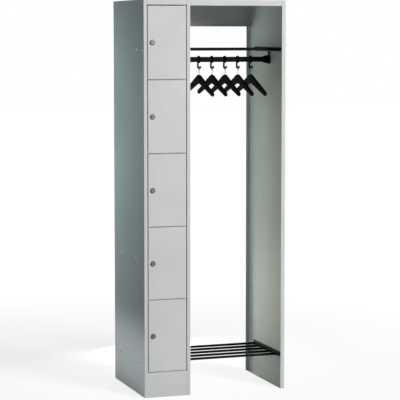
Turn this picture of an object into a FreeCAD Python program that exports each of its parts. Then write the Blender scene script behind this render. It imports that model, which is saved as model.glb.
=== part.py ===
import FreeCAD, Part
import os
import Sketcher

# Cloakroom unit: a column of five lockers beside an open coat bay.
# Folded steel sheet, black rod shelves, a clothes rail with captive hangers.
# Frame: +Z up, +X to the right, the doors face -Y.
# The origin lies on the floor under the middle of the unit.

DOOR_COUNT = 5
ROD_COUNT = 5
HOOK_COUNT = 5

# Slack for telling that edges and faces lie in one plane, and the least volume of a real cut.
NEAR = 1e-4
LEAST_CUT = 1e-6

# Driving sizes in millimetres.
SIZES = {
    # carcass
    "unit_height": 1850,
    "unit_width": 700,
    "locker_width": 226,
    "locker_depth": 500,
    "bay_depth": 482,
    "sheet_thickness": 1,
    "bend_radius": 2,
    "stile_width": 16.5,
    "stile_return": 15.5,
    "post_flange": 19.5,
    "plinth_height": 117.5,
    "plinth_setback": 1,
    "plinth_return": 17,
    "top_rail_height": 23.5,
    "fascia_height": 26.5,
    "rail_end_gap": 1.2,
    "rail_return": 18,
    "roof_flange": 20,
    "roof_flange_setback": 22,
    "apron_height": 119,
    "apron_flange": 26,
    # shelves between the lockers
    "shelf_setback": 21,
    "shelf_flange": 18,
    "shelf_lip_setback": 3,
    "shelf_lip_clearance": 1,
    # doors and their hinges
    "door_gap": 4,
    "door_depth": 16,
    "hinge_inset": 8,
    "hinge_setback": 7.5,
    "pin_diameter": 6,
    "pin_engagement": 8,
    "pin_clearance": 0.05,
    "washer_diameter": 9,
    "washer_clearance": 0.3,
    # locks
    "lock_inset": 22.5,
    "lock_projection": 8,
    "rosette_diameter": 25,
    "rosette_face": 19,
    "rosette_rim": 2.5,
    "rosette_edge_radius": 1.2,
    "barrel_diameter": 18,
    "barrel_length": 16.5,
    "barrel_clearance": 0.1,
    "lock_nut_thickness": 4,
    "lock_nut_diameter": 27,
    "core_diameter": 13,
    "core_clearance": 0.05,
    "core_recess": 0.6,
    "core_shoulder": 0.4,
    "core_tail_diameter": 7,
    "keyway_width": 2,
    "keyway_height": 8,
    "keyway_depth": 6,
    "cam_thickness": 2.5,
    "cam_width": 16,
    "cam_reach": 34,
    "cam_corner": 6,
    "cam_nut_thickness": 3,
    "cam_nut_diameter": 13,
    # hat shelf and shoe rack
    "rod_diameter": 12,
    "rod_wall": 2.9,
    "rod_pitch": 75,
    "first_rod_setback": 98,
    "hat_shelf_height": 1621,
    "shoe_rack_height": 151.5,
    "bracket_thickness": 3,
    "hat_bracket_height": 19,
    "hat_bracket_under_rod": 10,
    "shoe_bracket_height": 23,
    "shoe_bracket_under_rod": 6,
    "bracket_setback": 50,
    "bracket_length": 360,
    "bracket_corner": 3,
    "tongue_width": 28,
    "tongue_end_height": 1550,
    # bolts, plugs and row-joining holes
    "bolt_diameter": 6,
    "bolt_clearance": 0.1,
    "bolt_grip": 12,
    "head_diameter": 12,
    "head_height": 2.2,
    "head_edge_radius": 0.8,
    "plug_length": 2.2,
    "link_hole_diameter": 7,
    "link_hole_height": 236,
    "link_hole_setback": 130,
    "link_hole_spacing": 240,
    # clothes rail
    "rail_height": 1572,
    "rail_setback": 214,
    "rail_diameter": 25,
    "rail_wall": 1.5,
    "socket_diameter": 40,
    "socket_flange": 9,
    "socket_length": 30,
    "socket_wall": 2.5,
    "socket_clearance": 0.1,
    # sliding hooks, the first of them this far before the middle of the bay
    "first_hook_offset": 123.5,
    "hook_pitch": 65.6,
    "ring_clearance": 0.3,
    "ring_wall": 4.5,
    "ring_width": 8,
    "hook_rod": 8.5,
    "hook_bend": 4.75,
    "hook_run": 3,
    "hook_drop": 40.5,
    "hook_tip": 4,
    "hook_stem_offset": 4,
    # hangers on their wires
    "wire_diameter": 3,
    "shank_diameter": 2.6,
    "eye_slack": 2,
    "eye_clearance": 0.3,
    "hanger_drop": 27,
    "hanger_span": 410,
    "hanger_rise": 85,
    "hanger_crown": 43,
    "hanger_arm": 21,
    "hanger_ridge_radius": 55,
    "hanger_hollow_radius": 110,
    "hanger_thickness": 13,
    "hanger_edge_radius": 4.5,
    "hanger_tip_radius": 10,
    "wire_socket_depth": 18,
    "wire_socket_clearance": 0.05,
}

doc = FreeCAD.newDocument("cloakroom_unit")
sheet = doc.addObject("Spreadsheet::Sheet", "dims")
for row, (alias, size) in enumerate(SIZES.items(), start=1):
    sheet.set(f"A{row}", alias)
    sheet.set(f"B{row}", str(size))
    sheet.setAlias(f"B{row}", alias)
doc.recompute()

# Places shared by many pieces, as expressions on the sheet.
LEFT = "(-dims.unit_width / 2)"
RIGHT = "(dims.unit_width / 2)"
FRONT = "((dims.lock_projection - dims.locker_depth) / 2)"
BAY = f"({LEFT} + dims.locker_width)"
BAY_MIDDLE = f"(({BAY} - dims.sheet_thickness + {RIGHT}) / 2)"
DOOR_LEFT = f"({LEFT} + dims.stile_width + dims.door_gap)"
DOOR_WIDTH = "(dims.locker_width - 2 * dims.stile_width - 2 * dims.door_gap)"
DOOR_STACK = "(dims.unit_height - dims.top_rail_height - dims.plinth_height - dims.door_gap)"
DOOR_PITCH = f"({DOOR_STACK} / {DOOR_COUNT})"
DOOR_HEIGHT = f"({DOOR_PITCH} - dims.door_gap)"
LOWEST_GAP = "(dims.plinth_height + dims.door_gap / 2)"
HINGE_X = f"({DOOR_LEFT} + {DOOR_WIDTH} - dims.hinge_inset)"
HINGE_Y = f"({FRONT} + dims.hinge_setback)"
LAST_ROD_SETBACK = f"(dims.first_rod_setback + {ROD_COUNT - 1} * dims.rod_pitch)"
RAIL_Y = f"({FRONT} + dims.rail_setback)"

sub_parts = []
cuts = []


def number(expression):
    """Value of an expression on the sheet."""
    return float(sheet.evalExpression(expression))


def bind(item, expressions):
    """Tie properties of an object to expressions on the sheet."""
    for path, expression in expressions.items():
        item.setExpression(path, expression)


def place(item, x, y, z):
    """Tie an object's place to expressions on the sheet."""
    bind(item, {"Placement.Base.x": x, "Placement.Base.y": y, "Placement.Base.z": z})


def new_body(label, x, y, z):
    """An empty body with its origin at x, y, z."""
    body = doc.addObject("PartDesign::Body", label)
    body.Label = label
    place(body, x, y, z)
    return body


def keep(item, label):
    """Name an object as a sub-part to write out."""
    item.Label = label
    sub_parts.append(item)
    return item


def new_sketch(body, role, raised="0"):
    """A sketch on one of the body's origin planes, raised along the plane's normal."""
    sketch = body.newObject("Sketcher::SketchObject", "outline")
    plane = next(item for item in body.Origin.OriginFeatures if item.Role == role)
    sketch.AttachmentSupport = [(plane, "")]
    sketch.MapMode = "FlatFace"
    sketch.setExpression("AttachmentOffset.Base.z", raised)
    return sketch


def constrain(sketch, kind, *arguments, expression):
    """Add a dimension whose value follows an expression."""
    index = sketch.addConstraint(Sketcher.Constraint(kind, *arguments, number(expression)))
    name = f"size{index}"
    sketch.renameConstraint(index, name)
    sketch.setExpression(f"Constraints.{name}", expression)


def pin_along(sketch, shape, point, kind, axis, expression):
    """Hold a point of a sketch at a signed distance from one of the sketch's axes."""
    distance = number(expression)
    if distance == 0:
        sketch.addConstraint(Sketcher.Constraint("PointOnObject", shape, point, axis))
    elif distance > 0:
        constrain(sketch, kind, -1, 1, shape, point, expression=expression)
    else:
        constrain(sketch, kind, shape, point, -1, 1, expression=f"-({expression})")


def pin_point(sketch, shape, point, across, up):
    """Hold a point of a sketch at expressions across and up from the sketch's origin."""
    pin_along(sketch, shape, point, "DistanceX", -2, across)
    pin_along(sketch, shape, point, "DistanceY", -1, up)


def polygon(sketch, corners):
    """Closed outline through corners given as pairs of expressions."""
    points = [FreeCAD.Vector(number(across), number(up), 0) for across, up in corners]
    first = sketch.GeometryCount
    count = len(points)
    for index, point in enumerate(points):
        sketch.addGeometry(Part.LineSegment(point, points[(index + 1) % count]))
    for index, (across, up) in enumerate(corners):
        after = first + (index + 1) % count
        sketch.addConstraint(Sketcher.Constraint("Coincident", first + index, 2, after, 1))
        pin_point(sketch, first + index, 1, across, up)
    return sketch


def rectangle(sketch, across, up, width, height):
    """Rectangle with its low corner at across, up."""
    far = f"{across} + {width}"
    top = f"{up} + {height}"
    return polygon(sketch, [(across, up), (far, up), (far, top), (across, top)])


def circle(sketch, across, up, radius):
    """Circle about the point across, up."""
    centre = FreeCAD.Vector(number(across), number(up), 0)
    shape = sketch.addGeometry(Part.Circle(centre, FreeCAD.Vector(0, 0, 1), number(radius)))
    pin_point(sketch, shape, 3, across, up)
    constrain(sketch, "Radius", shape, expression=radius)
    return sketch


def pad(body, sketch, length, backwards=False):
    """Raise a sketch into a solid."""
    feature = body.newObject("PartDesign::Pad", "pad")
    feature.Profile = sketch
    feature.Reversed = backwards
    feature.setExpression("Length", length)
    doc.recompute()
    return feature


def cut(body, sketch, backwards=False, length=None):
    """Cut a sketch out of a body, right through unless a length is given."""
    feature = body.newObject("PartDesign::Pocket", "cut")
    feature.Profile = sketch
    feature.Reversed = backwards
    if length:
        feature.setExpression("Length", length)
    else:
        feature.Type = "ThroughAll"
    doc.recompute()
    cuts.append(feature)
    return feature


def revolve(body, sketch, axis):
    """Turn a sketch through a full circle about one of its own axes."""
    feature = body.newObject("PartDesign::Revolution", "turned")
    feature.Profile = sketch
    feature.ReferenceAxis = (sketch, [axis])
    feature.Angle = 360
    doc.recompute()
    return feature


def row_of(body, feature, role, length, count):
    """Repeat a feature along one of the body's axes."""
    pattern = body.newObject("PartDesign::LinearPattern", "row")
    pattern.Originals = [feature]
    axis = next(item for item in body.Origin.OriginFeatures if item.Role == role)
    pattern.Direction = (axis, [""])
    pattern.setExpression("Length", length)
    pattern.Occurrences = count
    body.Tip = pattern
    doc.recompute()
    return pattern


def lies_on(box, whole, side):
    """True where a bounding box lies flat on one side of the whole box."""
    return {
        "left": box.XMax < whole.XMin + NEAR,
        "right": box.XMin > whole.XMax - NEAR,
        "front": box.YMax < whole.YMin + NEAR,
        "back": box.YMin > whole.YMax - NEAR,
        "bottom": box.ZMax < whole.ZMin + NEAR,
        "top": box.ZMin > whole.ZMax - NEAR,
    }[side]


def edges_between(feature, side_pairs):
    """Names of the straight edges where two sides of a block meet."""
    whole = feature.Shape.BoundBox
    names = []
    for index, edge in enumerate(feature.Shape.Edges, start=1):
        box = edge.BoundBox
        if any(lies_on(box, whole, one) and lies_on(box, whole, two) for one, two in side_pairs):
            names.append(f"Edge{index}")
    return names


def faces_on(feature, sides):
    """Names of the flat faces on the given sides of a block."""
    whole = feature.Shape.BoundBox
    names = []
    for index, face in enumerate(feature.Shape.Faces, start=1):
        if any(lies_on(face.BoundBox, whole, side) for side in sides):
            names.append(f"Face{index}")
    return names


def fillet(body, feature, edge_names, radius):
    """Round the named edges of a feature."""
    rounding = body.newObject("PartDesign::Fillet", "rounding")
    rounding.Base = (feature, edge_names)
    rounding.setExpression("Radius", radius)
    doc.recompute()
    return rounding


def fold(body, block, bends, open_sides):
    """Turn a block into folded sheet: round its bends, then hollow it from its open sides."""
    bent = fillet(body, block, edges_between(block, bends), "dims.bend_radius")
    shell = body.newObject("PartDesign::Thickness", "sheet")
    shell.Base = (bent, faces_on(bent, open_sides))
    shell.Reversed = True
    shell.setExpression("Value", "dims.sheet_thickness")
    doc.recompute()
    return shell


def mirrored_pair(label, source):
    """A piece and its mirror image at the other end of the bay, as one sub-part."""
    image = doc.addObject("Part::Mirroring", f"{label}_image")
    image.Source = source
    image.Normal = FreeCAD.Vector(1, 0, 0)
    image.setExpression("Base.x", BAY_MIDDLE)
    pair = doc.addObject("Part::Compound", label)
    pair.Links = [source, image]
    doc.recompute()
    return keep(pair, label)


# Side panels: one folded sheet each, with front, rear and bottom flanges.
# The rack holes are the same in all three panels, so the racks fit either way.

def rack_holes(body):
    """Four bolt holes where the first and last rods of the two racks end."""
    sketch = new_sketch(body, "YZ_Plane")
    radius = "dims.bolt_diameter / 2 + dims.bolt_clearance"
    for setback in ("dims.first_rod_setback", LAST_ROD_SETBACK):
        for height in ("dims.shoe_rack_height", "dims.hat_shelf_height"):
            circle(sketch, setback, height, radius)
    cut(body, sketch, backwards=True)


def link_holes(body):
    """Two holes for bolting the next unit of a row to this one."""
    sketch = new_sketch(body, "YZ_Plane")
    for setback in ("dims.link_hole_setback", "dims.link_hole_setback + dims.link_hole_spacing"):
        circle(sketch, setback, "dims.link_hole_height", "dims.link_hole_diameter / 2")
    cut(body, sketch, backwards=True)


def side_panel(label, x, width, depth, outer, inner):
    """Folded panel with its sheet on the outer side and its flanges turned inwards."""
    body = new_body(label, x, FRONT, "0")
    block = pad(body, rectangle(new_sketch(body, "XY_Plane"), "0", "0", width, depth), "dims.unit_height")
    fold(body, block, [(outer, "front"), (outer, "back"), (outer, "bottom")], [inner, "top"])
    return keep(body, label)


def stile_return(body, x):
    """Lip folded back from the stile, which the lock's cam catches behind."""
    sketch = rectangle(
        new_sketch(body, "XY_Plane"), x, "0",
        "dims.sheet_thickness", "(dims.sheet_thickness + dims.stile_return)",
    )
    pad(body, sketch, "dims.unit_height - dims.sheet_thickness")


locker_left_side = side_panel(
    "locker_left_side", LEFT, "dims.stile_width", "dims.locker_depth", "left", "right"
)
stile_return(locker_left_side, "(dims.stile_width - dims.sheet_thickness)")
rack_holes(locker_left_side)
link_holes(locker_left_side)

locker_right_side = side_panel(
    "locker_right_side", f"{BAY} - dims.stile_width", "dims.stile_width", "dims.locker_depth",
    "right", "left",
)
stile_return(locker_right_side, "0")
rack_holes(locker_right_side)

bay_side = side_panel(
    "bay_side", f"{RIGHT} - dims.post_flange", "dims.post_flange", "dims.bay_depth", "right", "left"
)
rack_holes(bay_side)
link_holes(bay_side)


# Roofs: a top plate with a folded front rail, its return, and side flanges.

def roof(label, x, span, left_wing, right_wing, depth, rail_height, flange_depth):
    """Roof over one compartment; its wings lie behind the stiles at either end."""
    body = new_body(label, x, FRONT, f"dims.unit_height - {rail_height}")
    rail_width = f"({span} - {left_wing} - {right_wing})"
    outline = rectangle(new_sketch(body, "XY_Plane"), left_wing, "0", rail_width, depth)
    block = pad(body, outline, rail_height)
    fold(body, block, [("front", "top"), ("front", "bottom")], ["left", "right", "back"])
    under_plate = rectangle(
        new_sketch(body, "XY_Plane"), "0", "dims.rail_return", span, f"({depth} - dims.rail_return)"
    )
    cut(body, under_plate, backwards=True, length=f"{rail_height} - dims.sheet_thickness")
    plate_height = f"{rail_height} - dims.sheet_thickness"
    flange_height = f"{rail_height} - dims.roof_flange"
    wings = (
        (left_wing, "0", "0"),
        (right_wing, f"{span} - {right_wing}", f"{span} - dims.sheet_thickness"),
    )
    for wing, start, flange_start in wings:
        if wing != "0":
            plate_depth = f"({depth} + dims.sheet_thickness - 2 * dims.bend_radius)"
            plate = rectangle(
                new_sketch(body, "XY_Plane", plate_height), start, "dims.bend_radius", wing, plate_depth
            )
            pad(body, plate, "dims.sheet_thickness")
        flange = rectangle(
            new_sketch(body, "XY_Plane", flange_height),
            flange_start, "dims.roof_flange_setback", "dims.sheet_thickness", flange_depth,
        )
        pad(body, flange, "dims.roof_flange")
    return keep(body, label)


# A folded rail stops a little short of the stiles, and the wings of its plate go on behind them.
STILE_WING = "(dims.stile_width - dims.sheet_thickness + dims.rail_end_gap)"
POST_WING = "(dims.post_flange - dims.sheet_thickness + dims.rail_end_gap)"
LOCKER_ROOM = "(dims.locker_width - 2 * dims.sheet_thickness)"
BAY_ROOM = f"({RIGHT} - dims.sheet_thickness - {BAY})"

locker_roof = roof(
    "locker_roof", f"{LEFT} + dims.sheet_thickness", LOCKER_ROOM, STILE_WING, STILE_WING,
    "(dims.locker_depth - dims.sheet_thickness)", "dims.top_rail_height",
    "(dims.locker_depth - dims.roof_flange_setback - 2 * dims.sheet_thickness)",
)

roof("bay_roof", BAY, BAY_ROOM, "0", POST_WING, "(dims.bay_depth - dims.sheet_thickness)",
     "dims.fascia_height",
     "(dims.bay_depth - dims.roof_flange_setback - dims.apron_flange - dims.sheet_thickness)")

# The top hinge pin goes up through the return of the locker's top rail.
PIN_HOLE = "dims.pin_diameter / 2 + dims.pin_clearance"
top_pin_hole = circle(
    new_sketch(locker_roof, "XY_Plane"),
    f"{HINGE_X} - {LEFT} - dims.sheet_thickness", "dims.hinge_setback", PIN_HOLE,
)
cut(locker_roof, top_pin_hole, backwards=True, length="dims.top_rail_height / 2")

# Apron: a shallow tray across the back of the bay, hung under its roof.
rear_apron = new_body(
    "rear_apron", BAY, f"{FRONT} + dims.bay_depth - dims.sheet_thickness - dims.apron_flange",
    "dims.unit_height - dims.sheet_thickness - dims.apron_height",
)
apron_outline = rectangle(new_sketch(rear_apron, "XY_Plane"), "0", "0", BAY_ROOM, "dims.apron_flange")
apron_block = pad(rear_apron, apron_outline, "dims.apron_height")
fold(rear_apron, apron_block, [("back", "bottom"), ("back", "left"), ("back", "right")], ["front", "top"])
keep(rear_apron, "rear_apron")

# Locker back: a flat sheet held in front of the rear flanges, clear of their bends.
locker_back = doc.addObject("Part::Box", "locker_back")
place(
    locker_back, f"{LEFT} + dims.bend_radius",
    f"{FRONT} + dims.locker_depth - 2 * dims.sheet_thickness", "dims.bend_radius",
)
bind(locker_back, {
    "Length": "dims.locker_width - 2 * dims.bend_radius",
    "Width": "dims.sheet_thickness",
    "Height": "dims.unit_height - dims.sheet_thickness - dims.bend_radius",
})
keep(locker_back, "locker_back")

# Plinth: a channel between the stiles, a little behind their faces.
plinth_panel = new_body(
    "plinth_panel", f"{LEFT} + dims.stile_width", f"{FRONT} + dims.plinth_setback", "0"
)
plinth_outline = rectangle(
    new_sketch(plinth_panel, "XY_Plane"), "0", "0",
    "(dims.locker_width - 2 * dims.stile_width)", "dims.plinth_return",
)
plinth_block = pad(plinth_panel, plinth_outline, "dims.plinth_height")
fold(plinth_panel, plinth_block, [("front", "top"), ("front", "bottom")], ["left", "right", "back"])
low_pin_hole = circle(
    new_sketch(plinth_panel, "XY_Plane", "dims.plinth_height / 2"),
    f"{HINGE_X} - {LEFT} - dims.stile_width", "dims.hinge_setback - dims.plinth_setback", PIN_HOLE,
)
cut(plinth_panel, low_pin_hole, backwards=True)
keep(plinth_panel, "plinth_panel")


# Shelves: inverted trays; a narrow lip runs forward between the doors and holds the hinge pins.

def shelf(label, gap_index):
    """Shelf whose plate lies in the middle of a gap between doors, counted up from the plinth."""
    middle = f"({LOWEST_GAP} + {gap_index} * {DOOR_PITCH})"
    body = new_body(
        label, f"{LEFT} + dims.sheet_thickness", f"{FRONT} + dims.shelf_lip_setback",
        f"{middle} - dims.sheet_thickness / 2 - dims.shelf_flange",
    )
    tray_start = "(dims.shelf_setback - dims.shelf_lip_setback)"
    tray_depth = "(dims.locker_depth - 2 * dims.sheet_thickness - dims.shelf_setback)"
    outline = rectangle(new_sketch(body, "XY_Plane"), "0", tray_start, LOCKER_ROOM, tray_depth)
    block = pad(body, outline, "dims.shelf_flange + dims.sheet_thickness")
    fold(body, block, [("top", "left"), ("top", "right"), ("top", "back")], ["bottom"])
    lip_start = "(dims.stile_width + dims.shelf_lip_clearance - dims.sheet_thickness)"
    lip = rectangle(
        new_sketch(body, "XY_Plane", "dims.shelf_flange"), lip_start, "0",
        f"({LOCKER_ROOM} - 2 * {lip_start})", f"({tray_start} + dims.sheet_thickness)",
    )
    pad(body, lip, "dims.sheet_thickness")
    hole = circle(
        new_sketch(body, "XY_Plane"), f"{HINGE_X} - {LEFT} - dims.sheet_thickness",
        "dims.hinge_setback - dims.shelf_lip_setback", PIN_HOLE,
    )
    cut(body, hole, backwards=True)
    return keep(body, label)


shelf("locker_floor", 0)
for shelf_index in range(1, DOOR_COUNT):
    shelf(f"locker_shelf_{shelf_index}", DOOR_COUNT - shelf_index)

# Hinge pins and the washers that the doors turn on, one column of each.
pin_reach = "(dims.door_gap / 2 + dims.pin_engagement)"
hinge_pins = new_body("hinge_pins", HINGE_X, HINGE_Y, f"{LOWEST_GAP} - {pin_reach}")
pin_outline = circle(new_sketch(hinge_pins, "XY_Plane"), "0", "0", "dims.pin_diameter / 2")
row_of(hinge_pins, pad(hinge_pins, pin_outline, f"2 * {pin_reach}"), "Z_Axis", DOOR_STACK, DOOR_COUNT + 1)
keep(hinge_pins, "hinge_pins")

hinge_washers = new_body("hinge_washers", HINGE_X, HINGE_Y, f"{LOWEST_GAP} + dims.sheet_thickness / 2")
washer_outline = new_sketch(hinge_washers, "XY_Plane")
circle(washer_outline, "0", "0", "dims.washer_diameter / 2")
circle(washer_outline, "0", "0", PIN_HOLE)
washer = pad(
    hinge_washers, washer_outline, "(dims.door_gap - dims.sheet_thickness) / 2 - dims.washer_clearance"
)
row_of(hinge_washers, washer, "Z_Axis", f"{DOOR_STACK} - {DOOR_PITCH}", DOOR_COUNT)
keep(hinge_washers, "hinge_washers")


# Doors: shallow pans that turn on the pins at their right edge.

def hex_nut(label, x, y, z, diameter, thickness, bore):
    """Hexagon nut on an axis along Y, with its front face at y."""
    turn = FreeCAD.Rotation(FreeCAD.Vector(1, 0, 0), -90)
    block = doc.addObject("Part::Prism", f"{label}_hexagon")
    bind(block, {"Circumradius": f"{diameter} / 2", "Height": thickness})
    hole = doc.addObject("Part::Cylinder", f"{label}_bore")
    bind(hole, {"Radius": bore, "Height": thickness})
    for item in (block, hole):
        item.Placement = FreeCAD.Placement(FreeCAD.Vector(), turn)
        place(item, x, y, z)
    nut = doc.addObject("Part::Cut", label)
    nut.Base = block
    nut.Tool = hole
    doc.recompute()
    return nut


def door(number_from_top):
    """One door pan with holes for its two pins and its lock."""
    base = f"({LOWEST_GAP} + {DOOR_COUNT - number_from_top} * {DOOR_PITCH} + dims.door_gap / 2)"
    label = f"door_{number_from_top}"
    body = new_body(label, DOOR_LEFT, FRONT, base)
    outline = rectangle(new_sketch(body, "XY_Plane"), "0", "0", DOOR_WIDTH, "dims.door_depth")
    block = pad(body, outline, DOOR_HEIGHT)
    front_edges = [("front", side) for side in ("left", "right", "top", "bottom")]
    fold(body, block, front_edges, ["back"])
    pins = circle(
        new_sketch(body, "XY_Plane"), f"{DOOR_WIDTH} - dims.hinge_inset", "dims.hinge_setback", PIN_HOLE
    )
    cut(body, pins, backwards=True)
    lock_hole = circle(
        new_sketch(body, "XZ_Plane"), "dims.lock_inset", f"{DOOR_HEIGHT} / 2",
        "dims.barrel_diameter / 2 + dims.barrel_clearance",
    )
    cut(body, lock_hole)
    keep(body, label)
    return base


# Locks: a barrel clamped in the door by a nut, and a core that swings the cam behind the stile.

LOCK_X = f"({DOOR_LEFT} + dims.lock_inset)"
LOCK_FACE = f"({FRONT} - dims.lock_projection)"
CORE_END = "(dims.lock_projection + dims.barrel_length + dims.core_shoulder)"
TAIL_END = f"({CORE_END} + dims.cam_thickness + dims.cam_nut_thickness)"


def lock(number_from_top, door_base):
    """The four pieces of one lock, half way up its door."""
    z = f"{door_base} + {DOOR_HEIGHT} / 2"
    bore = "(dims.core_diameter / 2 + dims.core_clearance)"

    barrel = new_body(f"lock_barrel_{number_from_top}", LOCK_X, LOCK_FACE, z)
    rim = "(dims.lock_projection - dims.rosette_rim)"
    barrel_end = "(dims.lock_projection + dims.barrel_length)"
    profile = polygon(new_sketch(barrel, "XY_Plane"), [
        (bore, "0"),
        ("dims.rosette_face / 2", "0"),
        ("dims.rosette_diameter / 2", rim),
        ("dims.rosette_diameter / 2", "dims.lock_projection"),
        ("dims.barrel_diameter / 2", "dims.lock_projection"),
        ("dims.barrel_diameter / 2", barrel_end),
        (bore, barrel_end),
    ])
    turned = revolve(barrel, profile, "V_Axis")
    soft_edges = [
        f"Edge{index}" for index, edge in enumerate(turned.Shape.Edges, start=1)
        if edge.Curve.TypeId == "Part::GeomCircle"
        and edge.Curve.Radius > number("dims.barrel_diameter / 2") + NEAR
        and edge.BoundBox.YMax < number("dims.lock_projection") - NEAR
    ]
    fillet(barrel, turned, soft_edges, "dims.rosette_edge_radius")
    nut = hex_nut(
        f"lock_nut_{number_from_top}", LOCK_X, f"{FRONT} + dims.sheet_thickness", z,
        "dims.lock_nut_diameter", "dims.lock_nut_thickness",
        "dims.barrel_diameter / 2 + dims.barrel_clearance",
    )
    housing = doc.addObject("Part::Compound", f"lock_housing_{number_from_top}")
    housing.Links = [barrel, nut]
    keep(housing, f"lock_housing_{number_from_top}")

    core = new_body(f"lock_core_{number_from_top}", LOCK_X, LOCK_FACE, z)
    profile = polygon(new_sketch(core, "XY_Plane"), [
        ("0", "dims.core_recess"),
        ("dims.core_diameter / 2", "dims.core_recess"),
        ("dims.core_diameter / 2", CORE_END),
        ("dims.core_tail_diameter / 2", CORE_END),
        ("dims.core_tail_diameter / 2", TAIL_END),
        ("0", TAIL_END),
    ])
    revolve(core, profile, "V_Axis")
    keyway = rectangle(
        new_sketch(core, "XZ_Plane"), "-dims.keyway_width / 2", "-dims.keyway_height / 2",
        "dims.keyway_width", "dims.keyway_height",
    )
    cut(core, keyway, length="dims.core_recess + dims.keyway_depth")
    keep(core, f"lock_core_{number_from_top}")

    plate = new_body(f"cam_plate_{number_from_top}", LOCK_X, f"{LOCK_FACE} + {CORE_END}", z)
    outline = rectangle(
        new_sketch(plate, "XZ_Plane"), "-dims.cam_width / 2", "-dims.cam_reach",
        "dims.cam_width", "(dims.cam_reach + dims.cam_width / 2)",
    )
    block = pad(plate, outline, "dims.cam_thickness", backwards=True)
    corners = [(side, end) for side in ("left", "right") for end in ("top", "bottom")]
    fillet(plate, block, edges_between(block, corners), "dims.cam_corner")
    tail_hole = circle(
        new_sketch(plate, "XZ_Plane"), "0", "0", "dims.core_tail_diameter / 2 + dims.core_clearance"
    )
    cut(plate, tail_hole)
    cam_nut = hex_nut(
        f"cam_nut_{number_from_top}", LOCK_X, f"{LOCK_FACE} + {CORE_END} + dims.cam_thickness", z,
        "dims.cam_nut_diameter", "dims.cam_nut_thickness",
        "dims.core_tail_diameter / 2 + dims.core_clearance",
    )
    cam = doc.addObject("Part::Compound", f"lock_cam_{number_from_top}")
    cam.Links = [plate, cam_nut]
    keep(cam, f"lock_cam_{number_from_top}")


for door_index in range(1, DOOR_COUNT + 1):
    lock(door_index, door(door_index))


# Racks: tube rods between two flat end brackets, bolted through the side panels.

def rack_rods(label, height):
    """Rods from bracket to bracket, one row across the depth."""
    body = new_body(
        label, f"{BAY} + dims.bracket_thickness", f"{FRONT} + dims.first_rod_setback", height
    )
    outline = new_sketch(body, "YZ_Plane")
    circle(outline, "0", "0", "dims.rod_diameter / 2")
    circle(outline, "0", "0", "dims.rod_diameter / 2 - dims.rod_wall")
    rod = pad(body, outline, f"{BAY_ROOM} - 2 * dims.bracket_thickness")
    row_of(body, rod, "Y_Axis", f"{ROD_COUNT - 1} * dims.rod_pitch", ROD_COUNT)
    keep(body, label)


def bracket_holes(body, under_rod):
    """Bolt holes of a bracket at its first and last rods."""
    sketch = new_sketch(body, "YZ_Plane")
    for setback in ("dims.first_rod_setback", LAST_ROD_SETBACK):
        circle(
            sketch, f"{setback} - dims.bracket_setback", under_rod,
            "dims.bolt_diameter / 2 + dims.bolt_clearance",
        )
    cut(body, sketch, backwards=True)


def bracket(label, rod_height, under_rod, outline_corners):
    """Flat end bracket on the locker's side and its mirror image on the bay's outer side."""
    body = new_body(
        f"{label}_left", BAY, f"{FRONT} + dims.bracket_setback", f"{rod_height} - {under_rod}"
    )
    block = pad(body, polygon(new_sketch(body, "YZ_Plane"), outline_corners), "dims.bracket_thickness")
    upright = [("front", "bottom"), ("front", "top"), ("back", "bottom"), ("back", "top")]
    fillet(body, block, edges_between(block, upright), "dims.bracket_corner")
    bracket_holes(body, under_rod)
    mirrored_pair(label, body)


hat_bar_top = "dims.hat_bracket_height"
shoe_bar_top = "dims.shoe_bracket_height"
bar_end = "dims.bracket_length"
tongue_front = "(dims.rail_setback - dims.bracket_setback - dims.tongue_width / 2)"
tongue_back = f"({tongue_front} + dims.tongue_width)"
tongue_end = "(dims.tongue_end_height - dims.hat_shelf_height + dims.hat_bracket_under_rod)"

rack_rods("hat_shelf_rods", "dims.hat_shelf_height")
bracket("hat_shelf_brackets", "dims.hat_shelf_height", "dims.hat_bracket_under_rod", [
    ("0", "0"), (tongue_front, "0"), (tongue_front, tongue_end), (tongue_back, tongue_end),
    (tongue_back, "0"), (bar_end, "0"), (bar_end, hat_bar_top), ("0", hat_bar_top),
])
rack_rods("shoe_rack_rods", "dims.shoe_rack_height")
bracket("shoe_rack_brackets", "dims.shoe_rack_height", "dims.shoe_bracket_under_rod", [
    ("0", "0"), (bar_end, "0"), (bar_end, shoe_bar_top), ("0", shoe_bar_top),
])


# Rack bolts go through panel and bracket into the rod ends; plugs close the same holes on the left.

def headed_rows(label, x, shank_length):
    """Round-headed pieces in the four rack holes, with their heads starting at x."""
    body = new_body(label, x, f"{FRONT} + dims.first_rod_setback", "dims.shoe_rack_height")
    head_radius = "dims.head_diameter / 2"
    shank_radius = "dims.bolt_diameter / 2"
    end = f"(dims.head_height + {shank_length})"
    profile = polygon(new_sketch(body, "XY_Plane"), [
        ("0", "0"), ("0", head_radius), ("dims.head_height", head_radius),
        ("dims.head_height", shank_radius), (end, shank_radius), (end, "0"),
    ])
    turned = revolve(body, profile, "H_Axis")
    rim = [
        f"Edge{index}" for index, edge in enumerate(turned.Shape.Edges, start=1)
        if lies_on(edge.BoundBox, turned.Shape.BoundBox, "left")
    ]
    rounded = fillet(body, turned, rim, "dims.head_edge_radius")
    pattern = body.newObject("PartDesign::MultiTransform", "rows")
    pattern.Originals = [turned, rounded]
    steps = []
    spans = (("Y_Axis", f"{LAST_ROD_SETBACK} - dims.first_rod_setback"),
             ("Z_Axis", "dims.hat_shelf_height - dims.shoe_rack_height"))
    for role, span in spans:
        step = body.newObject("PartDesign::LinearPattern", "step")
        axis = next(item for item in body.Origin.OriginFeatures if item.Role == role)
        step.Direction = (axis, [""])
        step.setExpression("Length", span)
        step.Occurrences = 2
        steps.append(step)
    pattern.Transformations = steps
    body.Tip = pattern
    doc.recompute()
    return body


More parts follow.
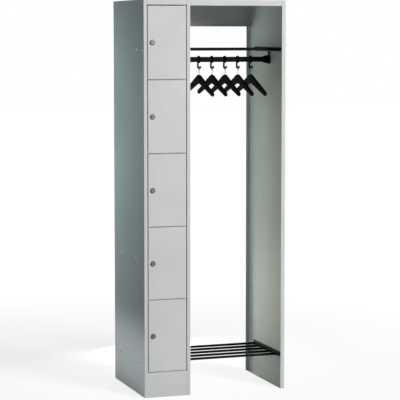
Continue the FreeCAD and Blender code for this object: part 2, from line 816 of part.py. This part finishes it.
bolt_shank = "(dims.sheet_thickness + dims.bracket_thickness + dims.bolt_grip)"
left_bolts = headed_rows(
    "rack_bolts_left", f"{BAY} - dims.sheet_thickness - dims.head_height", bolt_shank
)
mirrored_pair("rack_bolts", left_bolts)
keep(headed_rows("hole_plugs", f"{LEFT} - dims.head_height", "dims.plug_length"), "hole_plugs")

# Clothes rail: a tube seated in two flared sockets on the brackets' tongues.
rail_start = f"({BAY} + dims.bracket_thickness)"
rail_sockets = new_body("rail_socket_left", rail_start, RAIL_Y, "dims.rail_height")
socket_bore = "(dims.rail_diameter / 2 + dims.socket_clearance)"
socket_profile = polygon(new_sketch(rail_sockets, "XY_Plane"), [
    ("0", socket_bore),
    ("0", "dims.socket_diameter / 2"),
    ("dims.socket_flange", "dims.socket_diameter / 2"),
    ("dims.socket_length", f"{socket_bore} + dims.socket_wall"),
    ("dims.socket_length", socket_bore),
])
revolve(rail_sockets, socket_profile, "H_Axis")
mirrored_pair("rail_sockets", rail_sockets)

clothes_rail = new_body("clothes_rail", rail_start, RAIL_Y, "dims.rail_height")
rail_outline = new_sketch(clothes_rail, "YZ_Plane")
circle(rail_outline, "0", "0", "dims.rail_diameter / 2")
circle(rail_outline, "0", "0", "dims.rail_diameter / 2 - dims.rail_wall")
pad(clothes_rail, rail_outline, f"{BAY_ROOM} - 2 * dims.bracket_thickness")
keep(clothes_rail, "clothes_rail")


# Hooks: a ring that slides on the rail, with a bent rod below that carries the hanger.

def line_and_arc_path(sketch, points, centres):
    """Open path of straight runs joined by quarter bends, through points given in order."""
    spots = [FreeCAD.Vector(number(across), number(up), 0) for across, up in points]
    kinds = []
    for index in range(len(spots) - 1):
        start, end = spots[index], spots[index + 1]
        if index in centres:
            middle = FreeCAD.Vector(*[number(value) for value in centres[index]], 0)
            spoke = (start + end) * 0.5 - middle
            spoke.normalize()
            through = middle + spoke * (start - middle).Length
            sketch.addGeometry(Part.Arc(start, through, end))
        else:
            sketch.addGeometry(Part.LineSegment(start, end))
        kinds.append(index in centres)
    for index, is_bend in enumerate(kinds):
        if is_bend:
            # A bend turns against the clock, so it starts where the run before it ends.
            sketch.addConstraint(Sketcher.Constraint("Tangent", index - 1, 2, index, 1))
            sketch.addConstraint(Sketcher.Constraint("Coincident", index, 2, index + 1, 1))
        else:
            pin_point(sketch, index, 1, *points[index])
            pin_point(sketch, index, 2, *points[index + 1])
    return sketch


def hook(index):
    """Sliding hook, counted from the locker side."""
    label = f"sliding_hook_{index}"
    x = f"({BAY_MIDDLE} - dims.first_hook_offset + {index - 1} * dims.hook_pitch)"
    body = new_body(label, x, RAIL_Y, "dims.rail_height")
    ring_bore = "(dims.rail_diameter / 2 + dims.ring_clearance)"
    ring = new_sketch(body, "YZ_Plane", "-dims.ring_width / 2")
    circle(ring, "0", "0", f"{ring_bore} + dims.ring_wall")
    circle(ring, "0", "0", ring_bore)
    pad(body, ring, "dims.ring_width")

    stem = "-dims.hook_stem_offset"
    stem_top = f"(-{ring_bore} - dims.ring_wall / 2)"
    low = "-dims.hook_drop"
    bend_height = "(dims.hook_bend - dims.hook_drop)"
    first_bend = "(dims.hook_bend - dims.hook_stem_offset)"
    second_bend = f"({first_bend} + dims.hook_run)"
    tip = f"({second_bend} + dims.hook_bend)"
    path = line_and_arc_path(
        new_sketch(body, "XZ_Plane"),
        [(stem, stem_top), (stem, bend_height), (first_bend, low), (second_bend, low),
         (tip, bend_height), (tip, f"{bend_height} + dims.hook_tip")],
        {1: (first_bend, bend_height), 3: (second_bend, bend_height)},
    )
    section = circle(new_sketch(body, "XY_Plane", stem_top), stem, "0", "dims.hook_rod / 2")
    doc.recompute()
    rod = body.newObject("PartDesign::AdditivePipe", "bent_rod")
    rod.Profile = section
    rod.Spine = (path, [f"Edge{edge}" for edge in range(1, 6)])
    doc.recompute()
    keep(body, label)
    return f"({x} + {first_bend} + dims.hook_run / 2)"


# Hangers: two straight moulded arms under a rounded ridge, and a wire whose eye goes round the hook.

HANGER_AXIS = "(dims.rail_height - dims.hook_drop)"
EYE_BORE = "(dims.hook_rod / 2 + dims.eye_slack)"
EYE_RADIUS = f"({EYE_BORE} + dims.wire_diameter / 2)"
EYE_SAG = "(dims.eye_slack - dims.eye_clearance)"


def edges_across(feature, drop):
    """Names of the edges through a block's thickness that lie a given drop below its top."""
    level = feature.Shape.BoundBox.ZMax - number(drop)
    names = []
    for index, edge in enumerate(feature.Shape.Edges, start=1):
        box = edge.BoundBox
        if box.XLength > NEAR and box.ZMax < level + NEAR and box.ZMin > level - NEAR:
            names.append(f"Edge{index}")
    return names


def hanger(index, x):
    """Hanger and wire below one hook, in the plane across the rail."""
    label = f"hanger_{index}"
    body = new_body(label, f"{x} - dims.hanger_thickness / 2", RAIL_Y, HANGER_AXIS)
    half = "(dims.hanger_span / 2)"
    ridge = "-dims.hanger_drop"
    hollow = f"({ridge} - dims.hanger_crown)"
    arm_top = f"({ridge} - dims.hanger_rise)"
    arm_end = f"({arm_top} - dims.hanger_arm)"
    outline = polygon(new_sketch(body, "YZ_Plane"), [
        (f"-{half}", arm_end), ("0", hollow), (half, arm_end),
        (half, arm_top), ("0", ridge), (f"-{half}", arm_top),
    ])
    moulding = pad(body, outline, "dims.hanger_thickness")
    # The ridge is rounded last, because the drops are taken from it.
    for drop, radius in (
        ("dims.hanger_rise", "dims.hanger_tip_radius"),
        ("dims.hanger_rise + dims.hanger_arm", "dims.hanger_tip_radius"),
        ("dims.hanger_crown", "dims.hanger_hollow_radius"),
        ("0", "dims.hanger_ridge_radius"),
    ):
        moulding = fillet(body, moulding, edges_across(moulding, drop), radius)
    rims = [
        f"Edge{position}" for position, edge in enumerate(moulding.Shape.Edges, start=1)
        if edge.BoundBox.XLength < NEAR
    ]
    fillet(body, moulding, rims, "dims.hanger_edge_radius")
    socket = circle(
        new_sketch(body, "XY_Plane", "-dims.hanger_drop - dims.wire_socket_depth"),
        "dims.hanger_thickness / 2", "0", "dims.shank_diameter / 2 + dims.wire_socket_clearance",
    )
    cut(body, socket, backwards=True)
    keep(body, label)

    eye = doc.addObject("Part::Torus", f"wire_eye_{index}")
    eye.Placement = FreeCAD.Placement(FreeCAD.Vector(), FreeCAD.Rotation(FreeCAD.Vector(0, 1, 0), 90))
    place(eye, x, RAIL_Y, f"{HANGER_AXIS} - {EYE_SAG}")
    bind(eye, {"Radius1": EYE_RADIUS, "Radius2": "dims.wire_diameter / 2"})
    shank = doc.addObject("Part::Cylinder", f"wire_shank_{index}")
    shank_end = f"({HANGER_AXIS} - dims.hanger_drop - dims.wire_socket_depth)"
    place(shank, x, RAIL_Y, shank_end)
    bind(shank, {
        "Radius": "dims.shank_diameter / 2",
        "Height": f"{HANGER_AXIS} - {EYE_SAG} - {EYE_RADIUS} - {shank_end}",
    })
    wire = doc.addObject("Part::Fuse", f"hanger_wire_{index}")
    wire.Base = eye
    wire.Tool = shank
    doc.recompute()
    keep(wire, f"hanger_wire_{index}")


for hook_index in range(1, HOOK_COUNT + 1):
    hanger(hook_index, hook(hook_index))

# Check every object, every cut and every sub-part before anything is written.
doc.recompute()
for item in doc.Objects:
    if "Invalid" in item.State or "Error" in item.State:
        raise RuntimeError(f"{item.Label} failed: {item.State}")
for feature in cuts:
    if feature.Shape.Volume > feature.BaseFeature.Shape.Volume - LEAST_CUT:
        raise RuntimeError(f"{feature.Label} cuts nothing")
for item in sub_parts:
    if item.Shape.isNull() or not item.Shape.isValid():
        raise RuntimeError(f"{item.Label} is not a valid solid")

os.makedirs("parts", exist_ok=True)
for item in sub_parts:
    item.Shape.exportStep(os.path.join("parts", f"{item.Label}.step"))
print(f"{len(sub_parts)} sub-parts written")
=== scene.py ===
import bmesh
import bpy
from math import radians
from mathutils import Matrix, Vector


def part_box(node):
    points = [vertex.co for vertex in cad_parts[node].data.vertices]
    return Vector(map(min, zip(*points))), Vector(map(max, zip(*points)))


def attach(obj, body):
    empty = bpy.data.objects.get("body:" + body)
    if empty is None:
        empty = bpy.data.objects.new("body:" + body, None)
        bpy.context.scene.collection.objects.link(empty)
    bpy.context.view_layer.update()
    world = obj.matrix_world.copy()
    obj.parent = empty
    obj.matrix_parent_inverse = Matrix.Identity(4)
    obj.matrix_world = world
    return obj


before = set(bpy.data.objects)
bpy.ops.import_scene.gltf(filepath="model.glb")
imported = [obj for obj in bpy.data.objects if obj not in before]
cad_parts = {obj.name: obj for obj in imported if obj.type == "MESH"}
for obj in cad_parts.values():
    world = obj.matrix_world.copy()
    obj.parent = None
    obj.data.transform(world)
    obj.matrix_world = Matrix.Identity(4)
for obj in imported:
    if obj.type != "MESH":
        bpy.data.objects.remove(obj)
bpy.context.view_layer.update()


# Side panels of the locker column and of the coat bay.
# Cold-rolled steel sheet, punched, and folded to a stile in front and a flange behind. The panels are
# sprayed with light grey powder that melts in the oven into a fine, slightly pebbled coat.
GREY_THIN_COAT = (0.628, 0.622, 0.622)
GREY_FULL_COAT = (0.658, 0.652, 0.652)
FLOOR_DUST = (0.520, 0.515, 0.495)
DUST_HEIGHT = 0.090
DUST_SHARE = 0.35


def surface_grain_group():
    """Two noises in real sizes: a fine grain for the relief and broad clouds for tone and gloss."""
    group = bpy.data.node_groups.new("surface_grain", "ShaderNodeTree")
    for name in ("Grains per metre", "Clouds per metre"):
        group.interface.new_socket(name, in_out="INPUT", socket_type="NodeSocketFloat")
    for name in ("Grain", "Clouds"):
        group.interface.new_socket(name, in_out="OUTPUT", socket_type="NodeSocketFloat")
    inputs = group.nodes.new("NodeGroupInput")
    outputs = group.nodes.new("NodeGroupOutput")
    place = group.nodes.new("ShaderNodeTexCoord")
    for density, result, detail in (
        ("Grains per metre", "Grain", 2.0),
        ("Clouds per metre", "Clouds", 4.0),
    ):
        noise = group.nodes.new("ShaderNodeTexNoise")
        noise.inputs["Detail"].default_value = detail
        group.links.new(place.outputs["Object"], noise.inputs["Vector"])
        group.links.new(inputs.outputs[density], noise.inputs["Scale"])
        group.links.new(noise.outputs["Fac"], outputs.inputs[result])
    return group


def blend_tones(tree, mask, low_tone, high_tone, start=0.35, stop=0.65):
    """Colour that goes from one tone to the other where the mask rises from start to stop."""
    ramp = tree.nodes.new("ShaderNodeValToRGB")
    first, last = ramp.color_ramp.elements
    first.position = start
    first.color = (*low_tone, 1.0)
    last.position = stop
    last.color = (*high_tone, 1.0)
    tree.links.new(mask, ramp.inputs["Fac"])
    return ramp.outputs["Color"]


def spread(tree, value, low, high, start=0.3, stop=0.7):
    """Value stretched from its usual span of start to stop onto low to high."""
    stretch = tree.nodes.new("ShaderNodeMapRange")
    stretch.inputs["From Min"].default_value = start
    stretch.inputs["From Max"].default_value = stop
    stretch.inputs["To Min"].default_value = low
    stretch.inputs["To Max"].default_value = high
    tree.links.new(value, stretch.inputs["Value"])
    return stretch.outputs["Result"]


def new_finish(name, tones, roughness, clouds, specular=0.5, metallic=0.0):
    """A material whose clouds, so many to the metre, go between two tones and two roughnesses."""
    material = bpy.data.materials.new(name)
    material.use_nodes = True
    tree = material.node_tree
    shader = tree.nodes["Principled BSDF"]
    grain = tree.nodes.new("ShaderNodeGroup")
    grain.name = "grain"
    grain.node_tree = surface_grain
    grain.inputs["Clouds per metre"].default_value = clouds
    tree.links.new(blend_tones(tree, grain.outputs["Clouds"], *tones), shader.inputs["Base Color"])
    tree.links.new(spread(tree, grain.outputs["Clouds"], *roughness), shader.inputs["Roughness"])
    shader.inputs["Specular IOR Level"].default_value = specular
    shader.inputs["Metallic"].default_value = metallic
    return material


def raise_relief(material, grains, depth, strength):
    """Pebbles on a finish, so many to the metre and of the given depth in metres."""
    tree = material.node_tree
    grain = tree.nodes["grain"]
    grain.inputs["Grains per metre"].default_value = grains
    bump = tree.nodes.new("ShaderNodeBump")
    bump.inputs["Strength"].default_value = strength
    bump.inputs["Distance"].default_value = depth
    tree.links.new(grain.outputs["Grain"], bump.inputs["Height"])
    tree.links.new(bump.outputs["Normal"], tree.nodes["Principled BSDF"].inputs["Normal"])


def settle_dust(material):
    """Dust on a finish, patchy, that thins out within a hand's breadth of the floor."""
    tree = material.node_tree
    surface = tree.nodes["Principled BSDF"].inputs["Base Color"]
    coat = surface.links[0].from_socket
    place = tree.nodes.new("ShaderNodeTexCoord")
    height = tree.nodes.new("ShaderNodeSeparateXYZ")
    tree.links.new(place.outputs["Object"], height.inputs["Vector"])
    nearness = spread(tree, height.outputs["Z"], DUST_SHARE, 0.0, start=0.0, stop=DUST_HEIGHT)
    patchy = tree.nodes.new("ShaderNodeMath")
    patchy.operation = "MULTIPLY"
    tree.links.new(nearness, patchy.inputs[0])
    tree.links.new(tree.nodes["grain"].outputs["Clouds"], patchy.inputs[1])
    dusty = tree.nodes.new("ShaderNodeMix")
    dusty.data_type = "RGBA"
    dusty.inputs["B"].default_value = (*FLOOR_DUST, 1.0)
    tree.links.new(patchy.outputs["Value"], dusty.inputs["Factor"])
    tree.links.new(coat, dusty.inputs["A"])
    tree.links.new(dusty.outputs["Result"], surface)


def dress(material, *nodes):
    """Puts the finish on carried-over CAD nodes."""
    for node in nodes:
        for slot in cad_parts[node].material_slots:
            slot.material = material


surface_grain = surface_grain_group()
grey_powder = new_finish(
    "light_grey_powder", (GREY_THIN_COAT, GREY_FULL_COAT), roughness=(0.56, 0.60), clouds=7.0, specular=0.05
)
raise_relief(grey_powder, grains=1400.0, depth=0.0004, strength=0.12)
settle_dust(grey_powder)
dress(grey_powder, "locker_left_side", "locker_right_side", "bay_side")


# Back, roofs, plinth, floor and shelves of the carcass, with the rear apron of the coat bay.
# The same folded steel sheet in the same coat: the shelves and the roofs have lips turned down at
# their edges, and all of them are welded or screwed between the side panels.
SHELVES = [f"locker_shelf_{level}" for level in range(1, 5)]
dress(grey_powder, "locker_back", "locker_roof", "plinth_panel", "locker_floor", *SHELVES)
dress(grey_powder, "bay_roof", "rear_apron")


# Panel screws.
# Zinc-plated pan-head screws with a cross recess, gone dull. They hold the roof and the apron between
# the side panels, and close the spare holes that the outer panels have for the next unit of a row.
SCREW_HEAD_RADIUS = 0.0040
SCREW_HEAD_RISE = 0.0016
SCREW_HEAD_EDGE = 0.0009
SCREW_HEAD_SIDES = 24
SCREW_HEAD_TOP = SCREW_HEAD_RISE * 0.999
RECESS_REACH = 0.0021
RECESS_WIDTH = 0.0009
RECESS_DEPTH = 0.0008
# Painted shade: both zinc tones are kept darker than bright zinc, standing in for the dark room that the
# plating reflects.
ZINC_PAINTED_SHADE_DARK = (0.31, 0.315, 0.315)
ZINC_PAINTED_SHADE_PALE = (0.41, 0.415, 0.415)


def add_piece(name, bm, material, body):
    """Turns a finished bmesh into a piece that rides on a body."""
    mesh = bpy.data.meshes.new(name)
    bm.to_mesh(mesh)
    bm.free()
    mesh.materials.append(material)
    piece = bpy.data.objects.new(name, mesh)
    bpy.context.scene.collection.objects.link(piece)
    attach(piece, body)


def pan_head():
    """Mesh of one pan head that stands on the plane z = 0, with a cross sunk in its top."""
    bm = bmesh.new()
    bmesh.ops.create_cone(
        bm, cap_ends=True, segments=SCREW_HEAD_SIDES, depth=SCREW_HEAD_RISE,
        radius1=SCREW_HEAD_RADIUS, radius2=SCREW_HEAD_RADIUS,
    )
    bmesh.ops.translate(bm, verts=bm.verts, vec=(0.0, 0.0, SCREW_HEAD_RISE / 2))
    top = max(bm.faces, key=lambda face: face.calc_center_median().z)
    bmesh.ops.bevel(
        bm, geom=list(top.edges), offset=SCREW_HEAD_EDGE, affect="EDGES",
        segments=3, profile=0.5, material=-1,
    )
    for normal in (Vector((1.0, 0.0, 0.0)), Vector((0.0, 1.0, 0.0))):
        for offset in (-RECESS_REACH, -RECESS_WIDTH / 2, RECESS_WIDTH / 2, RECESS_REACH):
            flat = [face for face in bm.faces if face.calc_center_median().z > SCREW_HEAD_TOP]
            near = {item for face in flat for item in (face, *face.edges, *face.verts)}
            bmesh.ops.bisect_plane(bm, geom=list(near), plane_co=normal * offset, plane_no=normal)
    cross = []
    for face in bm.faces:
        middle = face.calc_center_median()
        across, along = sorted((abs(middle.x), abs(middle.y)))
        if middle.z > SCREW_HEAD_TOP and across < RECESS_WIDTH / 2 and along < RECESS_REACH:
            cross.append(face)
    sunk = bmesh.ops.extrude_face_region(bm, geom=cross)
    recess_floor = [item for item in sunk["geom"] if isinstance(item, bmesh.types.BMVert)]
    bmesh.ops.translate(bm, verts=recess_floor, vec=(0.0, 0.0, -RECESS_DEPTH))
    bmesh.ops.delete(bm, geom=cross, context="FACES")
    bmesh.ops.recalc_face_normals(bm, faces=bm.faces)
    head = bpy.data.meshes.new("pan_head")
    bm.to_mesh(head)
    bm.free()
    return head


def set_screws(name, seats):
    """Heads on their seats: each a place on the sheet, the way that the head faces and its turn."""
    bm = bmesh.new()
    for place, outward, turn in seats:
        upright = Vector((0.0, 0.0, 1.0)).rotation_difference(Vector(outward)).to_matrix().to_4x4()
        move = Matrix.Translation(place) @ upright @ Matrix.Rotation(radians(turn), 4, "Z")
        first = len(bm.verts)
        bm.from_mesh(head_shape)
        bm.verts.ensure_lookup_table()
        bmesh.ops.transform(bm, matrix=move, verts=bm.verts[first:])
    add_piece(name, bm, zinc, "cabinet")


zinc = new_finish(
    "zinc_plate_painted_shade", (ZINC_PAINTED_SHADE_DARK, ZINC_PAINTED_SHADE_PALE), roughness=(0.26, 0.42), clouds=160.0, metallic=1.0
)
raise_relief(zinc, grains=2500.0, depth=0.0002, strength=0.10)
head_shape = pan_head()

panel_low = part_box("locker_left_side")[0]
bay_low, bay_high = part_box("bay_side")

# Distance behind the front edge, height above the floor and turn of the cross: the roof's screws first,
# then the one of the apron, and those in the spare holes.
OUTER_SCREWS = [
    (0.025, 1.837, 20.0), (0.461, 1.837, 55.0), (0.465, 1.751, 75.0), (0.022, 1.616, 10.0),
    (0.459, 1.616, 40.0), (0.465, 0.155, 65.0), (0.131, 0.646, 30.0), (0.371, 0.646, 80.0),
]
for name, x, front, facing in (
    ("left_panel_screws", panel_low.x, panel_low.y, -1.0),
    ("right_panel_screws", bay_high.x, bay_low.y, 1.0),
):
    set_screws(name, [
        ((x, front + depth, height), (facing, 0.0, 0.0), turn)
        for depth, height, turn in OUTER_SCREWS
    ])

APRON_SHEET = 0.001
APRON_SCREW_DEPTH = 0.015
APRON_SCREW_HEIGHTS = (1.752, 1.815)
APRON_SCREW_TURN = 25.0
apron_low, apron_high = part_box("rear_apron")
set_screws("apron_screws", [
    ((x, apron_low.y + APRON_SCREW_DEPTH, height), (facing, 0.0, 0.0), APRON_SCREW_TURN)
    for x, facing in ((apron_low.x + APRON_SHEET, 1.0), (apron_high.x - APRON_SHEET, -1.0))
    for height in APRON_SCREW_HEIGHTS
])


# Racks: the hat shelf and the shoe rack.
# Round steel bars are welded between flat end brackets, and each frame is bolted through the side
# panels. The whole frame is coated in a black satin powder.
BLACK_THIN_COAT = (0.0050, 0.0060, 0.0060)
BLACK_FULL_COAT = (0.0080, 0.0090, 0.0090)
ROD_COUNT = 5
BEAD_LEG = 0.0020
BEAD_CROWN = 0.0013
BEAD_ROOT = 0.9
BEAD_STEPS = 20
MERGE_DISTANCE = 1e-6


def weld_beads(name, rods):
    """A small fillet weld round each end of each rod, against its bracket, rooted inside the rod."""
    low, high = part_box(rods)
    radius = (high.z - low.z) / 2
    pitch = (high.y - low.y - 2 * radius) / (ROD_COUNT - 1)
    outline = [
        (0.0, radius * BEAD_ROOT), (0.0, radius + BEAD_LEG), (BEAD_CROWN, radius + BEAD_CROWN),
        (BEAD_LEG, radius), (BEAD_LEG, radius * BEAD_ROOT),
    ]
    bm = bmesh.new()
    for number in range(ROD_COUNT):
        centre = Vector((0.0, low.y + radius + number * pitch, (low.z + high.z) / 2))
        for x, inward in ((low.x, 1.0), (high.x, -1.0)):
            verts = [bm.verts.new(centre + Vector((x + inward * along, 0.0, out))) for along, out in outline]
            ring = [bm.edges.new(pair) for pair in zip(verts, verts[1:] + verts[:1])]
            bmesh.ops.spin(
                bm, geom=verts + ring, cent=centre, axis=(1.0, 0.0, 0.0), angle=radians(360.0),
                steps=BEAD_STEPS, use_merge=True,
            )
    bmesh.ops.remove_doubles(bm, verts=bm.verts, dist=MERGE_DISTANCE)
    bmesh.ops.recalc_face_normals(bm, faces=bm.faces)
    for face in bm.faces:
        face.smooth = True
    add_piece(name, bm, black_powder, "cabinet")


black_powder = new_finish(
    "black_powder", (BLACK_THIN_COAT, BLACK_FULL_COAT), roughness=(0.44, 0.56), clouds=25.0, specular=0.04
)
raise_relief(black_powder, grains=1800.0, depth=0.0003, strength=0.12)
dress(black_powder, "hat_shelf_brackets", "hat_shelf_rods", "shoe_rack_brackets", "shoe_rack_rods")
dress(zinc, "rack_bolts")
weld_beads("hat_shelf_welds", "hat_shelf_rods")
weld_beads("shoe_rack_welds", "shoe_rack_rods")


# Clothes rail and its sockets.
# A steel tube in the racks' black powder, held at each end in a socket moulded in black plastic with a
# fine spark grain.
BLACK_PLASTIC_SHADE = (0.0045, 0.0050, 0.0050)
BLACK_PLASTIC_LIGHT = (0.0070, 0.0075, 0.0075)
black_plastic = new_finish(
    "moulded_black", (BLACK_PLASTIC_SHADE, BLACK_PLASTIC_LIGHT), roughness=(0.40, 0.55), clouds=40.0,
    specular=0.004,
)
raise_relief(black_plastic, grains=2600.0, depth=0.0002, strength=0.15)
dress(black_powder, "clothes_rail")
dress(black_plastic, "rail_sockets")


# Doors on their hinge pins.
# Each door is a shallow folded tray of the carcass's steel in the same grey, hung on two steel pins
# with a white nylon washer under its lower edge.
WASHER_SHADE = (0.74, 0.74, 0.71)
WASHER_LIGHT = (0.80, 0.80, 0.78)
DOORS = range(1, 6)
nylon = new_finish("white_nylon", (WASHER_SHADE, WASHER_LIGHT), roughness=(0.40, 0.52), clouds=200.0)
dress(grey_powder, *[f"door_{number}" for number in DOORS])
dress(zinc, "hinge_pins")
dress(nylon, "hinge_washers")


# Cam locks.
# A zinc housing with a round rosette, plated in nickel, goes through the door and is held by a nut.
# The core turns in it with the key, and carries a flat steel cam behind the door.
# Painted shade: both nickel tones are kept dark, standing in for the dark room that the plating reflects.
NICKEL_PAINTED_SHADE_DARK = (0.10, 0.10, 0.097)
NICKEL_PAINTED_SHADE_PALE = (0.17, 0.168, 0.163)
nickel = new_finish(
    "nickel_plate_painted_shade", (NICKEL_PAINTED_SHADE_DARK, NICKEL_PAINTED_SHADE_PALE), roughness=(0.28, 0.40), clouds=300.0, metallic=1.0
)
for number in DOORS:
    dress(nickel, f"lock_housing_{number}", f"lock_core_{number}")
    dress(zinc, f"lock_cam_{number}")


# Sliding hooks and hangers.
# Each hook is one black moulding: a ring that slides on the rail and a hook below it. The hanger is a
# broad black moulding on a wire plated in nickel, whose eye hangs in the hook.
HOOKS = range(1, 6)
for number in HOOKS:
    dress(black_plastic, f"sliding_hook_{number}", f"hanger_{number}")
    dress(nickel, f"hanger_wire_{number}")


# Plugs of the spare rack holes in the left side panel.
# Push-in caps of a glossy plastic, moulded in a grey that is darker than the paint.
PLUG_SHADE = (0.43, 0.455, 0.45)
PLUG_LIGHT = (0.48, 0.505, 0.50)
grey_plastic = new_finish(
    "grey_plastic", (PLUG_SHADE, PLUG_LIGHT), roughness=(0.18, 0.26), clouds=120.0, specular=1.0
)
dress(grey_plastic, "hole_plugs")


# Floor, light and camera.
# A plain white studio floor and the photograph's viewpoint. The main light is one large soft lamp high
# in front on the right. Weak lamps on the left, behind the bay and along the floor lift the shaded sides.
FLOOR_HALF = 30.0
FLOOR_BOUNCE = (0.455, 0.55, 0.546)
FLOOR_SEEN = (0.30, 0.30, 0.30)
FLOOR_ROUGHNESS = 0.9
GLOW_NEAR = 0.80
GLOW_FAR = 1.0
GLOW_START = 1.0
GLOW_STOP = 3.5


def seen_directly(tree):
    """1 for what the camera sees, straight on or in gloss or glass, and 0 for light on the object."""
    path = tree.nodes.new("ShaderNodeLightPath")
    seen = path.outputs["Is Camera Ray"]
    for kind in ("Is Glossy Ray", "Is Transmission Ray"):
        either = tree.nodes.new("ShaderNodeMath")
        either.operation = "MAXIMUM"
        tree.links.new(seen, either.inputs[0])
        tree.links.new(path.outputs[kind], either.inputs[1])
        seen = either.outputs["Value"]
    return seen


def white_floor():
    """White floor that reads as the white backdrop and still takes the object's shadow."""
    material = bpy.data.materials.new("studio_floor")
    material.use_nodes = True
    tree = material.node_tree
    shader = tree.nodes["Principled BSDF"]
    shader.inputs["Roughness"].default_value = FLOOR_ROUGHNESS
    shader.inputs["Specular IOR Level"].default_value = 0.0
    shader.inputs["Emission Color"].default_value = (1.0, 1.0, 1.0, 1.0)
    seen = seen_directly(tree)
    tone = blend_tones(tree, seen, FLOOR_BOUNCE, FLOOR_SEEN, start=0.0, stop=1.0)
    tree.links.new(tone, shader.inputs["Base Color"])
    place = tree.nodes.new("ShaderNodeTexCoord")
    reach = tree.nodes.new("ShaderNodeVectorMath")
    reach.operation = "LENGTH"
    tree.links.new(place.outputs["Object"], reach.inputs[0])
    glow = tree.nodes.new("ShaderNodeMath")
    glow.operation = "MULTIPLY"
    far = spread(tree, reach.outputs["Value"], GLOW_NEAR, GLOW_FAR, start=GLOW_START, stop=GLOW_STOP)
    tree.links.new(seen, glow.inputs[0])
    tree.links.new(far, glow.inputs[1])
    tree.links.new(glow.outputs["Value"], shader.inputs["Emission Strength"])
    return material


floor_mesh = bmesh.new()
bmesh.ops.create_grid(floor_mesh, x_segments=1, y_segments=1, size=FLOOR_HALF)
studio_floor = bpy.data.objects.new("studio_floor", bpy.data.meshes.new("studio_floor"))
floor_mesh.to_mesh(studio_floor.data)
floor_mesh.free()
studio_floor.data.materials.append(white_floor())
bpy.context.scene.collection.objects.link(studio_floor)

FILL_TINT = (0.80, 1.0, 1.0)
FILL_STRENGTH = 0.02

world = bpy.data.worlds.new("studio")
bpy.context.scene.world = world
world.use_nodes = True
sky = world.node_tree
fill = sky.nodes["Background"]
fill.inputs["Color"].default_value = (*FILL_TINT, 1.0)
fill.inputs["Strength"].default_value = FILL_STRENGTH
backdrop = sky.nodes.new("ShaderNodeBackground")
backdrop.inputs["Color"].default_value = (1.0, 1.0, 1.0, 1.0)
backdrop.inputs["Strength"].default_value = 1.0
choice = sky.nodes.new("ShaderNodeMixShader")
sky.links.new(seen_directly(sky), choice.inputs["Fac"])
sky.links.new(fill.outputs["Background"], choice.inputs[1])
sky.links.new(backdrop.outputs["Background"], choice.inputs[2])
sky.links.new(choice.outputs["Shader"], sky.nodes["World Output"].inputs["Surface"])


def soft_lamp(name, place, target, size, watts, tint, beam=180.0):
    """Lamp with a plain rectangular face, turned to its target, with a beam of so many degrees."""
    light = bpy.data.lights.new(name, "AREA")
    light.shape = "RECTANGLE"
    light.size, light.size_y = size
    light.energy = watts
    light.color = tint
    light.spread = radians(beam)
    lamp = bpy.data.objects.new(name, light)
    lamp.location = place
    lamp.rotation_euler = (Vector(target) - Vector(place)).to_track_quat("-Z", "Y").to_euler()
    lamp.visible_camera = False
    bpy.context.scene.collection.objects.link(lamp)


soft_lamp(
    "key_lamp", place=(3.6, -7.2, 3.9), target=(0.0, 0.0, 1.0), size=(2.6, 2.6),
    watts=675.0, tint=(1.0, 0.988, 0.992),
)
soft_lamp(
    "rear_upper_lamp", place=(-0.80, 0.78, 1.30), target=(-0.10, 0.0, 1.30), size=(0.4, 0.9),
    watts=2.95, tint=(0.71, 1.0, 1.0),
)
soft_lamp(
    "rear_lower_lamp", place=(-0.80, 0.78, 0.90), target=(-0.10, 0.0, 0.90), size=(0.4, 1.2),
    watts=1.82, tint=(0.79, 0.96, 1.0),
)
soft_lamp(
    "bay_lamp", place=(0.03, 1.15, 0.26), target=(0.34, 0.0, 0.30), size=(0.26, 0.44),
    watts=5.8, tint=(0.99, 1.0, 0.81),
)
soft_lamp(
    "bay_upper_lamp", place=(0.03, 1.15, 1.15), target=(0.34, 0.0, 1.15), size=(0.26, 0.8),
    watts=1.2, tint=(1.0, 0.98, 0.45),
)
soft_lamp(
    "foot_lamp", place=(-2.0, -0.10, 0.155), target=(0.0, -0.10, 0.155), size=(1.2, 0.31),
    watts=0.365, tint=(0.95, 0.985, 1.0), beam=10.0,
)

CAMERA_PLACE = (-2.618, -7.714, 1.690)
CAMERA_TILT = -5.564
CAMERA_TURN = 18.791
CAMERA_LENS = 152.8
CAMERA_SENSOR = 36.0

camera_lens = bpy.data.cameras.new("camera")
camera_lens.lens = CAMERA_LENS
camera_lens.sensor_width = CAMERA_SENSOR
camera = bpy.data.objects.new("camera", camera_lens)
camera.location = CAMERA_PLACE
camera.rotation_euler = (radians(90.0 + CAMERA_TILT), 0.0, radians(-CAMERA_TURN))
bpy.context.scene.collection.objects.link(camera)
bpy.context.scene.camera = camera
bpy.context.scene.view_settings.view_transform = "Standard"
